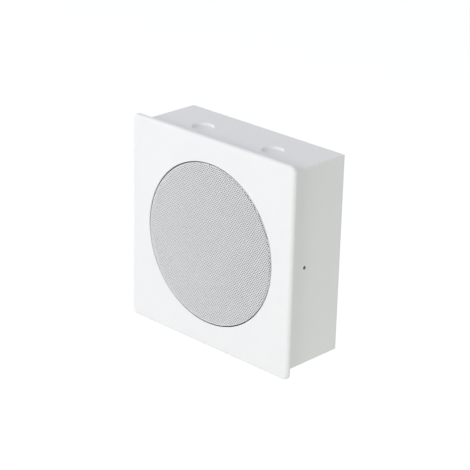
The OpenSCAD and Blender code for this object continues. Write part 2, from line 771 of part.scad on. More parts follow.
// Insulating block with a well and a wire way for each pole
module terminal_block() color([0.93, 0.92, 0.86]) difference() {
    union() {
        translate([-block_w / 2, y_rear_inside - block_h + 3, block_z - block_l / 2])
            cube([block_w, block_h - 3, block_l]);
        for (i = [0:pole_n - 1]) translate([pole_x(i) - pole_pitch / 2 + 1.2, 0, block_z])
            translate([0, y_rear_inside - block_h, -block_l / 4])
                cube([pole_pitch - 2.4, 3, block_l / 2]);
    }
    for (i = [0:pole_n - 1]) translate([pole_x(i), 0, block_z]) {
        translate([0, way_y, 0]) cylinder(r = 2.5, h = block_l + past, center = true, $fn = 32);
        for (e = [-1, 1]) translate([0, 0, e * block_l / 8])
            rod_y(1.8, y_rear_inside - block_h - past, way_y, 32);
    }
    for (s = [-1, 1]) translate([s * pole_pitch, 0, block_z]) {
        rod_y(1.6, y_rear_inside - block_h - past, past, 32);
        rod_y(2.9, y_rear_inside - block_h - past, y_rear_inside - block_h + 3, 32);
    }
}
function pole_x(i) = (i - (pole_n - 1) / 2) * pole_pitch;

module terminal_tubes() color(brass) for (i = [0:pole_n - 1])
    translate([pole_x(i), way_y, block_z]) difference() {
        cylinder(r = 2.4, h = block_l - 4, center = true, $fn = 32);
        cylinder(r = 1.5, h = block_l, center = true, $fn = 32);
        for (e = [-1, 1]) translate([0, 0, e * block_l / 8]) rod_y(1.25, -2 * past, 0, 24);
    }

module terminal_screws() color(zinc) for (i = [0:pole_n - 1], e = [-1, 1])
    translate([pole_x(i), way_y - 3.2, block_z + e * block_l / 8]) difference() {
        union() {
            rod_y(1.7, -1.6, 0, 24);
            rod_y(1.2, 0, 2.4, 24);
        }
        translate([0, -1.6, 0]) cube([4, 1.2, 0.5], center = true);
    }

module block_screws() color(zinc) for (s = [-1, 1])
    translate([s * pole_pitch, y_rear_inside - block_h + 3, block_z]) pan_screw(1.35, block_h - 3 + box_t);

// The line leads run midway between the motor and the rear wall
y_lead_run = (y_motor_end + y_rear_inside) / 2;

// Two insulated leads from the transformer, behind the motor, up to the terminal block
module line_leads() color([0.75, 0.12, 0.1]) for (i = [0, 1]) wire(curve([
    [pole_x(1 + i), y_window_1 - 6, core_z + coil_half_z - 0.4],
    [pole_x(1 + i), y_window_1 - 5, core_z + coil_half_z + 4],
    [pole_x(1 + i), y_lead_run, core_z + coil_half_z + 10],
    [pole_x(1 + i), y_lead_run, 0],
    [pole_x(1 + i), y_lead_run, block_z - block_l / 2 - 10],
    [pole_x(1 + i), way_y, block_z - block_l / 2 - 2],
    [pole_x(1 + i), way_y, block_z - block_l / 2 + 2.4]
], 4), wire_d);

// The speaker leads end on the rear side of the solder tags
y_solder = y_tag + tag_t + wire_d / 2 + seat_gap;

// Two insulated leads from the transformer to the solder tags on the driver
module speaker_leads() color([0.15, 0.15, 0.16]) for (s = [-1, 1]) wire(curve([
    [s * tag_x, y_window_0 + 6, core_z + coil_half_z - 0.4],
    [s * tag_x, y_window_0 + 4, core_z + coil_half_z + 4],
    [s * tag_x, y_window_0 - 4, core_z + coil_half_z + 5],
    [s * tag_x, y_solder + wire_d * 2, -board_out + wire_d * 5],
    [s * tag_x, y_solder + wire_d / 3, -board_out + wire_d * 3],
    [s * tag_x, y_solder, -board_out + wire_d]
], 4), wire_d);

back_box();
front_panel();
grille();
grille_seal();
grille_cloth();
panel_clips();
weld_studs();
driver_clamps();
clamp_nuts();
driver_gasket();
basket();
surround();
cone();
dust_cap();
spider();
coil_former();
voice_coil();
top_plate();
magnet();
yoke();
terminal_board();
board_rivets();
solder_tags();
tinsel_leads();
transformer_core();
transformer_bobbin();
transformer_coil();
transformer_strap();
transformer_screws();
terminal_block();
terminal_tubes();
terminal_screws();
block_screws();
line_leads();
speaker_leads();
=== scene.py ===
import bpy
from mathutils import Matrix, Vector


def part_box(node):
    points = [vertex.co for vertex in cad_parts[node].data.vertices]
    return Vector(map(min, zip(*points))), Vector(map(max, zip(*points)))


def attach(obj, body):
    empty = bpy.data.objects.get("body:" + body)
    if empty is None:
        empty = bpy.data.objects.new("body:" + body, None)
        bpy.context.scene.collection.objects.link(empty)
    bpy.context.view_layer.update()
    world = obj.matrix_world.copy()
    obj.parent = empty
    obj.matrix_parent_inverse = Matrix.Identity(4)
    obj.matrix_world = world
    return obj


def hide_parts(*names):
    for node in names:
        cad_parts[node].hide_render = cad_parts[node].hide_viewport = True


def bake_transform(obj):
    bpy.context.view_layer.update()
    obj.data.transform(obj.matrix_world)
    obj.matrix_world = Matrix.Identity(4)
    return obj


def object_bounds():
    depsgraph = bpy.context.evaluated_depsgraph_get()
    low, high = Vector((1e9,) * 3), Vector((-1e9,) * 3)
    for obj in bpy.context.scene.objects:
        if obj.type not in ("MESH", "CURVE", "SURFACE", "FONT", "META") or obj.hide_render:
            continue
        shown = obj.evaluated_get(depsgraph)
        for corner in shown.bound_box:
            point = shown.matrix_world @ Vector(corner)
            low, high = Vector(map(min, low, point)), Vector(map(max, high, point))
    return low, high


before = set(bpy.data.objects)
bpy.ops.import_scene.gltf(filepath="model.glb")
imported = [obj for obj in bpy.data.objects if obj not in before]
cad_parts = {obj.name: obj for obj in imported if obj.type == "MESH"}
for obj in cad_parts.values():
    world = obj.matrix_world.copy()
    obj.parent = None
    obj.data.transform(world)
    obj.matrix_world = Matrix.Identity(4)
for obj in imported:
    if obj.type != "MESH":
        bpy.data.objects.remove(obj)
CAD_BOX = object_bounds()

"""Visual model of a flush wall loudspeaker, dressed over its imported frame.

The frame's origin is the centre of the back box's rear face. The front looks along -Y and +Z
is up. Sizes are in metres, unless a name says otherwise.
"""

import logging
import math
from collections.abc import Callable, Iterable
from dataclasses import dataclass, field
from enum import Enum
from typing import ClassVar

import bmesh
import bpy
from mathutils import Matrix, Vector

log = logging.getLogger("wall_speaker")

Colour = tuple[float, float, float]
Point = tuple[float, float, float]
Mesh, Material = bpy.types.Mesh, bpy.types.Material
Node, Tree, Socket = bpy.types.Node, bpy.types.NodeTree, bpy.types.NodeSocket
Outputs = bpy.types.bpy_prop_collection
Value = float | tuple | Socket
Inputs = dict[str | int, Value]

SPEAKER_BODY = "speaker_body"
WHITE = (1.0, 1.0, 1.0, 1.0)
SAME_POINT = 1e-6
ABOVE_ZERO = 1e-9


def linear_light(seen: Colour) -> Colour:
    """Turns a colour as it is seen on screen into linear light.

    Args:
        seen: Red, green and blue as shown, 0 to 255.

    Returns:
        The colour in linear light, 0 to 1.
    """

    def linear(level: float) -> float:
        """Undoes the screen's transfer curve for one channel."""
        part = level / 255
        return part / 12.92 if part <= 0.04045 else ((part + 0.055) / 1.055) ** 2.4

    red, green, blue = seen
    return linear(red), linear(green), linear(blue)


def placed(name: str, data: bpy.types.ID) -> bpy.types.Object:
    """Puts data in the scene, as an object of its own.

    Args:
        name: The object's name.
        data: Its mesh, lamp or camera.

    Returns:
        The object.
    """
    made = bpy.data.objects.new(name, data)
    bpy.context.scene.collection.objects.link(made)
    return made


class Graph:
    """Adds nodes to one tree and links them, with values or sockets as inputs."""

    def __init__(self, tree: Tree) -> None:
        """Keeps the shader or geometry node tree that the nodes go into."""
        self.tree = tree

    @classmethod
    def of(cls, owner: Material | bpy.types.World) -> "Graph":
        """Empties the nodes of a material or a world.

        Args:
            owner: What the nodes belong to.

        Returns:
            A graph that adds to them.
        """
        owner.use_nodes = True
        owner.node_tree.nodes.clear()
        return cls(owner.node_tree)

    def sockets(self, way: str, kinds: dict[str, str]) -> None:
        """Gives the tree sockets of its own.

        Args:
            way: INPUT or OUTPUT.
            kinds: Each socket's name with its kind, such as Float.
        """
        for name, kind in kinds.items():
            self.tree.interface.new_socket(name, in_out=way, socket_type="NodeSocket" + kind)

    def add(self, kind: str, inputs: Inputs | None = None, **settings: object) -> Node:
        """Adds one node.

        Args:
            kind: The node's type name.
            inputs: Socket name or number, with the value or the socket that it takes.
            **settings: Properties of the node itself.

        Returns:
            The new node.
        """
        node = self.tree.nodes.new(kind)
        for name, setting in settings.items():
            setattr(node, name, setting)
        for key, value in (inputs or {}).items():
            if isinstance(value, Socket):
                self.tree.links.new(value, node.inputs[key])
            else:
                node.inputs[key].default_value = value
        return node

    def result(self, kind: str, inputs: Inputs | None = None, **settings: object) -> Socket:
        """Adds one node, and gives its first output."""
        return self.add(kind, inputs, **settings).outputs[0]

    def vector(self, **axes: Value) -> Socket:
        """Makes a vector of its X, Y and Z."""
        return self.result("ShaderNodeCombineXYZ", axes)

    def axes(self, vector: Value) -> Outputs:
        """Takes a vector apart."""
        return self.add("ShaderNodeSeparateXYZ", {0: vector}).outputs

    def maths(self, operation: str, *values: Value) -> Socket:
        """Adds one arithmetic node, such as ADD, on numbers or sockets."""
        return self.result("ShaderNodeMath", dict(enumerate(values)), operation=operation)

    def scaled(self, value: Value, factor: Value) -> Socket:
        """Multiplies a value by a factor."""
        return self.maths("MULTIPLY", value, factor)

    def weighted(self, first: Value, share: float, second: Value, rest: float) -> Socket:
        """Adds two values, each times its own share."""
        return self.maths("ADD", self.scaled(first, share), self.scaled(second, rest))

    def raised(self, wave: Value) -> Socket:
        """Turns a wave between -1 and 1 into one between 0 and 1."""
        return self.maths("MULTIPLY_ADD", wave, 0.5, 0.5)

    def mixed_colour(self, factor: Value, first: Colour, second: Colour) -> Socket:
        """Mixes two colours. The node's colour sockets are 6 and 7, and its result is output 2."""
        inputs = {0: factor, 6: (*first, 1.0), 7: (*second, 1.0)}
        return self.add("ShaderNodeMix", inputs, data_type="RGBA").outputs[2]

    def mixed_number(self, factor: Value, first: Value, second: Value) -> Socket:
        """Mixes two numbers. The node's number sockets are 2 and 3."""
        return self.result("ShaderNodeMix", {0: factor, 2: first, 3: second}, data_type="FLOAT")

    def mixed_shader(self, factor: Value, first: Node, second: Node) -> Node:
        """Mixes two shaders."""
        inputs = {0: factor, 1: first.outputs[0], 2: second.outputs[0]}
        return self.add("ShaderNodeMixShader", inputs)

    def joined(self, *pieces: Socket) -> Socket:
        """Joins geometry.

        Args:
            *pieces: What is joined, in order.

        Returns:
            All of it.
        """
        node = self.add("GeometryNodeJoinGeometry")
        for piece in pieces:
            self.tree.links.new(piece, node.inputs[0])
        return node.outputs[0]

    def vector_maths(self, operation: str, *values: Value) -> Node:
        """Adds one vector arithmetic node, such as LENGTH, on vectors or sockets."""
        return self.add("ShaderNodeVectorMath", dict(enumerate(values)), operation=operation)

    def cells(self, vector: Value, scale: Value) -> Outputs:
        """Adds a cell pattern, and gives its outputs."""
        return self.add("ShaderNodeTexVoronoi", {"Vector": vector, "Scale": scale}).outputs

    def noise(self, vector: Value, scale: Value, detail: float = 2.0) -> Socket:
        """Adds smooth noise from 0 to 1. Its scale is in features per metre."""
        inputs = {"Vector": vector, "Scale": scale, "Detail": detail}
        return self.add("ShaderNodeTexNoise", inputs).outputs["Fac"]


class Relief(Enum):
    """Surface effects that the finishes share, one shader group each."""

    POWDER = "powder_coat_relief"
    WEAVE = "cloth_weave_relief"
    GRAIN = "sheet_metal_relief"
    FIBRE = "paper_fibre_relief"
    GRANULE = "granular_relief"
    LAMINATE = "stacked_sheet_relief"
    STRAND = "strand_relief"


# Each of the next seven takes a group's graph, the place that it is read at and its features per
# metre, and returns the group's Tone and Height.


def powder(graph: Graph, place: Value, scale: Value) -> tuple[Value, Value]:
    """Orange peel of a sprayed and baked powder coat, with a faint slow drift in tone."""
    peel = graph.noise(place, scale, detail=1.0)
    fine = graph.noise(place, graph.scaled(scale, 3.1))
    drift = graph.noise(place, graph.scaled(scale, 0.035), detail=3.0)
    return graph.weighted(drift, 0.8, fine, 0.2), graph.weighted(peel, 0.75, fine, 0.25)


def weave(graph: Graph, place: Value, scale: Value) -> tuple[Value, Value]:
    """Plain weave of threads along X and Z."""
    threads = graph.vector_maths("SCALE", place)
    graph.tree.links.new(scale, threads.inputs["Scale"])
    axes = graph.axes(threads.outputs[0])
    warp, weft = graph.maths("SINE", axes["X"]), graph.maths("SINE", axes["Z"])
    height = graph.raised(graph.scaled(warp, weft))
    return graph.scaled(graph.noise(place, graph.scaled(scale, 0.08)), height), height


def grain(graph: Graph, place: Value, scale: Value) -> tuple[Value, Value]:
    """Rolling grain of plated sheet, drawn out along X, with soft spangle."""
    drawn = graph.vector_maths("MULTIPLY", place, (0.12, 1.0, 1.0)).outputs[0]
    lines = graph.noise(drawn, scale, detail=4.0)
    spangle = graph.cells(place, graph.scaled(scale, 0.25))
    tint = graph.result("ShaderNodeSeparateColor", {0: spangle["Color"]})
    return graph.weighted(lines, 0.7, tint, 0.3), lines


def fibre(graph: Graph, place: Value, scale: Value) -> tuple[Value, Value]:
    """Matted fibres of pressed paper pulp."""
    mat = graph.noise(place, scale, detail=6.0)
    knots = graph.cells(place, graph.scaled(scale, 0.6))
    return mat, graph.weighted(mat, 1.0, knots["Distance"], 0.4)


def granule(graph: Graph, place: Value, scale: Value) -> tuple[Value, Value]:
    """Fine grains of a moulded or sintered surface."""
    coarse = graph.noise(place, scale, detail=3.0)
    grains = graph.cells(place, graph.scaled(scale, 2.0))
    return coarse, graph.scaled(grains["Distance"], coarse)


def laminate(graph: Graph, place: Value, scale: Value) -> tuple[Value, Value]:
    """Edges of thin sheets stacked along Z."""
    wave = graph.maths("SINE", graph.scaled(graph.axes(place)["Z"], scale))
    height = graph.maths("POWER", graph.raised(wave), 0.4)
    return graph.scaled(height, graph.noise(place, graph.scaled(scale, 0.05))), height


def strand(graph: Graph, place: Value, scale: Value) -> tuple[Value, Value]:
    """Twisted strands or turns that slant across the surface."""
    slant = graph.vector_maths("DOT_PRODUCT", place, (0.45, 1.0, 0.7)).outputs["Value"]
    height = graph.raised(graph.maths("SINE", graph.scaled(slant, scale)))
    return graph.weighted(height, 0.6, graph.noise(place, scale), 0.4), height


MAKERS: dict[Relief, Callable[[Graph, Value, Value], tuple[Value, Value]]] = {
    Relief.POWDER: powder,
    Relief.WEAVE: weave,
    Relief.GRAIN: grain,
    Relief.FIBRE: fibre,
    Relief.GRANULE: granule,
    Relief.LAMINATE: laminate,
    Relief.STRAND: strand,
}


class ReliefLibrary:
    """Builds each shared shader group once. A group gives Tone and Height, both from 0 to 1."""

    def __init__(self) -> None:
        """Starts with no groups built."""
        self._built: dict[Relief, Tree] = {}

    def group(self, relief: Relief) -> Tree:
        """Finds a group, and builds it the first time.

        Args:
            relief: Which effect.

        Returns:
            The shader group.
        """
        if relief not in self._built:
            self._built[relief] = self._build(relief)
        return self._built[relief]

    def _build(self, relief: Relief) -> Tree:
        """Makes the group's sockets and its inside.

        Args:
            relief: Which effect.

        Returns:
            The new shader group.
        """
        graph = Graph(bpy.data.node_groups.new(relief.value, "ShaderNodeTree"))
        graph.sockets("INPUT", {"Vector": "Vector", "Scale": "Float"})
        graph.sockets("OUTPUT", {"Tone": "Float", "Height": "Float"})
        given = graph.add("NodeGroupInput").outputs
        tone, height = MAKERS[relief](graph, given["Vector"], given["Scale"])
        graph.add("NodeGroupOutput", {"Tone": tone, "Height": height})
        return graph.tree


@dataclass(frozen=True)
class Finish:
    """One finish: two tones as seen on screen that a shared relief mixes, with gloss and bump."""

    name: str
    light: Colour
    dark: Colour
    relief: Relief
    scale: float
    bump: float
    rough: tuple[float, float] = (0.4, 0.5)
    metallic: float = 0.0
    specular: float = 0.5
    sheen: float = 0.0
    coat: float = 0.0

    def material(self, reliefs: ReliefLibrary) -> Material:
        """Makes the finish's material.

        Args:
            reliefs: The library of shared groups.

        Returns:
            The material.
        """
        made = bpy.data.materials.new(self.name)
        graph = Graph.of(made)
        place = graph.add("ShaderNodeTexCoord").outputs["Object"]
        relief = graph.add("ShaderNodeGroup", node_tree=reliefs.group(self.relief))
        graph.tree.links.new(place, relief.inputs["Vector"])
        relief.inputs["Scale"].default_value = self.scale
        tone, height = relief.outputs["Tone"], relief.outputs["Height"]
        light, dark = linear_light(self.light), linear_light(self.dark)
        low, high = self.rough
        rough = graph.add("ShaderNodeMapRange", {"Value": tone, "To Min": high, "To Max": low})
        bump = graph.add("ShaderNodeBump", {"Height": height, "Distance": self.bump})
        shader = graph.add("ShaderNodeBsdfPrincipled", {
            "Base Color": graph.mixed_colour(tone, dark, light),
            "Roughness": rough.outputs[0],
            "Metallic": self.metallic,
            "Specular IOR Level": self.specular,
            "Sheen Weight": self.sheen,
            "Coat Weight": self.coat,
            "Normal": bump.outputs[0],
        })
        graph.add("ShaderNodeOutputMaterial", {"Surface": shader.outputs[0]})
        return made


class Finishes:
    """Every finish on the speaker, made into a material the first time it is used."""

    WHITE_COAT = Finish(
        "white_powder_coat", (247, 247, 247), (243, 243, 243), Relief.POWDER, 700, 2e-5, (0.42, 0.5)
    )
    GRILLE_COAT = Finish(
        "grille_powder_coat", (245, 245, 246), (240, 240, 242), Relief.POWDER, 900, 1e-5,
        (0.45, 0.55),
    )
    DUST_CLOTH = Finish(
        "black_dust_cloth", (34, 34, 36), (20, 20, 22), Relief.WEAVE, 9000, 5e-5,
        (0.85, 0.95), specular=0.2, sheen=0.15,
    )
    ZINC = Finish(
        "zinc_plating", (205, 207, 208), (176, 179, 182), Relief.GRAIN, 900, 1e-5,
        (0.28, 0.42), metallic=1.0,
    )
    PLATED_IRON = Finish(
        "plated_iron", (196, 193, 180), (160, 158, 148), Relief.GRAIN, 500, 2e-5,
        (0.32, 0.48), metallic=1.0,
    )
    # Black foam seal in the slit round the grille: a real seal, whose black is painted shade that
    # darkens the slit.
    SLIT_SHADE_FOAM = Finish(
        "black_foam_slit_shade", (30, 30, 31), (12, 12, 13), Relief.GRANULE, 2200, 0.0002,
        (0.9, 1.0), specular=0.15,
    )
    GASKET = Finish(
        "gasket_board", (66, 64, 62), (42, 41, 40), Relief.FIBRE, 1200, 0.0001, (0.8, 0.95)
    )
    BASKET_PAINT = Finish(
        "basket_paint", (52, 53, 56), (38, 39, 42), Relief.POWDER, 600, 3e-5, (0.35, 0.5)
    )
    SURROUND = Finish(
        "doped_cloth_surround", (44, 44, 45), (26, 26, 27), Relief.WEAVE, 7000, 6e-5,
        (0.55, 0.75), sheen=0.1,
    )
    CONE = Finish(
        "black_cone_paper", (62, 62, 64), (40, 40, 42), Relief.FIBRE, 900, 0.00012, (0.75, 0.9)
    )
    SPIDER = Finish(
        "amber_spider_cloth", (205, 150, 72), (160, 108, 44), Relief.WEAVE, 7000, 6e-5, (0.6, 0.8)
    )
    FORMER = Finish(
        "former_paper", (222, 208, 172), (200, 182, 142), Relief.FIBRE, 1500, 4e-5, (0.6, 0.8)
    )
    COPPER = Finish(
        "enamelled_copper", (204, 118, 70), (156, 80, 44), Relief.STRAND, 16000, 3e-5,
        (0.2, 0.34), metallic=0.9, coat=0.4,
    )
    FERRITE = Finish(
        "ferrite", (66, 66, 69), (46, 46, 49), Relief.GRANULE, 1400, 5e-5, (0.5, 0.7)
    )
    PHENOLIC = Finish(
        "phenolic_board", (168, 118, 68), (136, 88, 46), Relief.FIBRE, 700, 2e-5, (0.35, 0.5)
    )
    BRASS = Finish(
        "tinned_brass", (214, 190, 128), (176, 148, 88), Relief.GRAIN, 1200, 1e-5,
        (0.25, 0.4), metallic=1.0,
    )
    TINSEL = Finish(
        "braided_tinsel", (214, 160, 110), (140, 92, 56), Relief.STRAND, 9000, 0.0001,
        (0.4, 0.6), metallic=0.6,
    )
    LAMINATION = Finish(
        "core_laminations", (96, 98, 104), (44, 45, 48), Relief.LAMINATE, 12566, 0.0001,
        (0.4, 0.6), metallic=0.7,
    )
    NYLON = Finish(
        "natural_nylon", (236, 232, 214), (222, 216, 194), Relief.GRANULE, 900, 2e-5, (0.38, 0.5)
    )
    RED_WIRE = Finish(
        "red_insulation", (190, 34, 28), (160, 24, 20), Relief.GRANULE, 1800, 1e-5, (0.35, 0.5)
    )
    BLACK_WIRE = Finish(
        "black_insulation", (44, 44, 46), (30, 30, 32), Relief.GRANULE, 1800, 1e-5, (0.35, 0.5)
    )

    def __init__(self) -> None:
        """Starts with an empty store of materials."""
        self._reliefs = ReliefLibrary()
        self._made: dict[str, Material] = {}

    def get(self, finish: Finish) -> Material:
        """Finds a finish's material, and makes it the first time.

        Args:
            finish: Which finish.

        Returns:
            Its material.
        """
        if finish.name not in self._made:
            self._made[finish.name] = finish.material(self._reliefs)
        return self._made[finish.name]

    def dress(self, node: str, finish: Finish) -> None:
        """Gives a CAD node its finish.

        Args:
            node: The node's name.
            finish: The finish that it wears.
        """
        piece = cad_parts[node]
        made = self.get(finish)
        if not piece.material_slots:
            piece.data.materials.append(made)
        for slot in piece.material_slots:
            slot.material = made
        log.info("dressed %s in %s", node, finish.name)


class Recipe:
    """A Geometry Nodes tree with named inputs, which is run once and made a plain mesh."""

    KINDS = {int: "Int", float: "Float", Material: "Material"}

    def __init__(
        self, name: str, values: dict[str, float | int | Material], drawn: Mesh | None = None
    ) -> None:
        """Makes the tree and its inputs.

        Args:
            name: The tree's name.
            values: Each input's name with its value.
            drawn: Lines that the tree starts from, if it needs any.
        """
        self.name = name
        self.values = values
        self.drawn = drawn or bpy.data.meshes.new(name)
        self.graph = Graph(bpy.data.node_groups.new(name, "GeometryNodeTree"))
        kinds = {label: self.KINDS[type(value)] for label, value in values.items()}
        self.graph.sockets("INPUT", {"Drawn": "Geometry", **kinds})
        self.graph.sockets("OUTPUT", {"Geometry": "Geometry"})
        self.inputs = self.graph.add("NodeGroupInput").outputs

    def upright(self, geometry: Socket) -> Socket:
        """Turns geometry drawn in the XY plane into the XZ plane, with its own Z along -Y."""
        inputs = {"Geometry": geometry, "Rotation": (math.pi / 2, 0.0, 0.0)}
        return self.graph.result("GeometryNodeTransform", inputs)

    def tube(
        self, curve: Socket, sides: int, radius: Socket, capped: bool = False
    ) -> Socket:
        """Sweeps a round section along a curve.

        Args:
            curve: The curve that it follows.
            sides: Corners of the section.
            radius: The section's radius.
            capped: Whether the ends are closed.

        Returns:
            The tube.
        """
        section = {"Resolution": sides, "Radius": radius}
        ring = self.graph.result("GeometryNodeCurvePrimitiveCircle", section)
        inputs = {"Curve": curve, "Profile Curve": ring, "Fill Caps": capped}
        return self.graph.result("GeometryNodeCurveToMesh", inputs)

    def repeat(
        self, points: Socket, piece: Socket, chosen: Value = True
    ) -> Socket:
        """Puts a piece on each chosen point."""
        inputs = {"Points": points, "Selection": chosen, "Instance": piece}
        return self.graph.result("GeometryNodeInstanceOnPoints", inputs)

    def finish(self, geometry: Socket) -> None:
        """Ends the tree with realised instances and the material.

        Args:
            geometry: What the tree has made.
        """
        real = self.graph.result("GeometryNodeRealizeInstances", {"Geometry": geometry})
        coat = {"Geometry": real, "Material": self.inputs["Material"]}
        coated = self.graph.result("GeometryNodeSetMaterial", coat)
        self.graph.add("NodeGroupOutput", {"Geometry": coated})

    def mesh(self) -> Mesh:
        """Runs the tree with its inputs.

        Returns:
            The finished mesh.
        """
        carrier = placed(self.name + "_carrier", self.drawn)
        modifier = carrier.modifiers.new(self.name, "NODES")
        modifier.node_group = self.graph.tree
        for item in modifier.node_group.interface.items_tree:
            if item.in_out == "INPUT" and item.name in self.values:
                modifier[item.identifier] = self.values[item.name]
        evaluated = carrier.evaluated_get(bpy.context.evaluated_depsgraph_get())
        made = bpy.data.meshes.new_from_object(evaluated)
        carrier.modifiers.remove(modifier)
        bpy.data.objects.remove(carrier)
        return made


def add_piece(
    name: str, mesh: Mesh, body: str | None, smooth_deg: float = 40.0
) -> bpy.types.Object:
    """Links the mesh as a piece that rides on a body.

    Args:
        name: The piece's name.
        mesh: Its mesh, already in place.
        body: The body that it rides on, or None for a piece that rides on none.
        smooth_deg: Edges sharper than this stay sharp.

    Returns:
        The new object.
    """
    mesh.name = name
    mesh.polygons.foreach_set("use_smooth", [True] * len(mesh.polygons))
    mesh.set_sharp_from_angle(angle=math.radians(smooth_deg))
    made = placed(name, mesh)
    if body is not None:
        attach(made, body)
    log.info("built %s with %d faces", name, len(mesh.polygons))
    return made


def revolve(profile: list[tuple[float, float]], turns: list[float]) -> bmesh.types.BMesh:
    """Turns a profile about the Y axis.

    Args:
        profile: Points as (radius, y). A radius of 0 closes the shape there.
        turns: The angles at which it is drawn, all the way round.

    Returns:
        The revolved mesh, with merged doubles.
    """
    made = bmesh.new()
    ways = [(math.cos(turn), math.sin(turn)) for turn in turns]
    rings = [
        [made.verts.new((radius * across, y, radius * up)) for across, up in ways]
        for radius, y in profile
    ]
    for first, second in zip(rings, rings[1:]):
        for k in range(len(turns)):
            after = (k + 1) % len(turns)
            made.faces.new((first[k], first[after], second[after], second[k]))
    bmesh.ops.remove_doubles(made, verts=made.verts, dist=SAME_POINT)
    return made


def sealed(made: bmesh.types.BMesh, name: str, material: Material) -> Mesh:
    """Points a closed shell's faces outwards and makes it a mesh of one material.

    Args:
        made: The shell.
        name: The mesh's name.
        material: The material that all of it wears.

    Returns:
        The mesh.
    """
    bmesh.ops.recalc_face_normals(made, faces=made.faces)
    mesh = bpy.data.meshes.new(name)
    made.to_mesh(mesh)
    made.free()
    mesh.materials.append(material)
    return mesh


@dataclass
class Assembly:
    """Part of the speaker: the finishes of its CAD nodes, and the pieces that it adds to them."""

    finishes: Finishes
    coats: ClassVar[dict[str, Finish]] = {}

    def dress(self) -> None:
        """Gives each of its CAD nodes that stays in view its finish."""
        for node, finish in self.coats.items():
            self.finishes.dress(node, finish)

    def build(self) -> None:
        """Adds its own pieces, where it has any."""


class Cabinet(Assembly):
    """Back box, front panel, the clips that join them and the foam seal behind the opening. The
    seal's black is painted shade in the slit round the grille.
    """

    coats = {
        "back_box": Finishes.WHITE_COAT,
        "front_panel": Finishes.WHITE_COAT,
        "panel_clips": Finishes.ZINC,
        "grille_seal": Finishes.SLIT_SHADE_FOAM,
    }


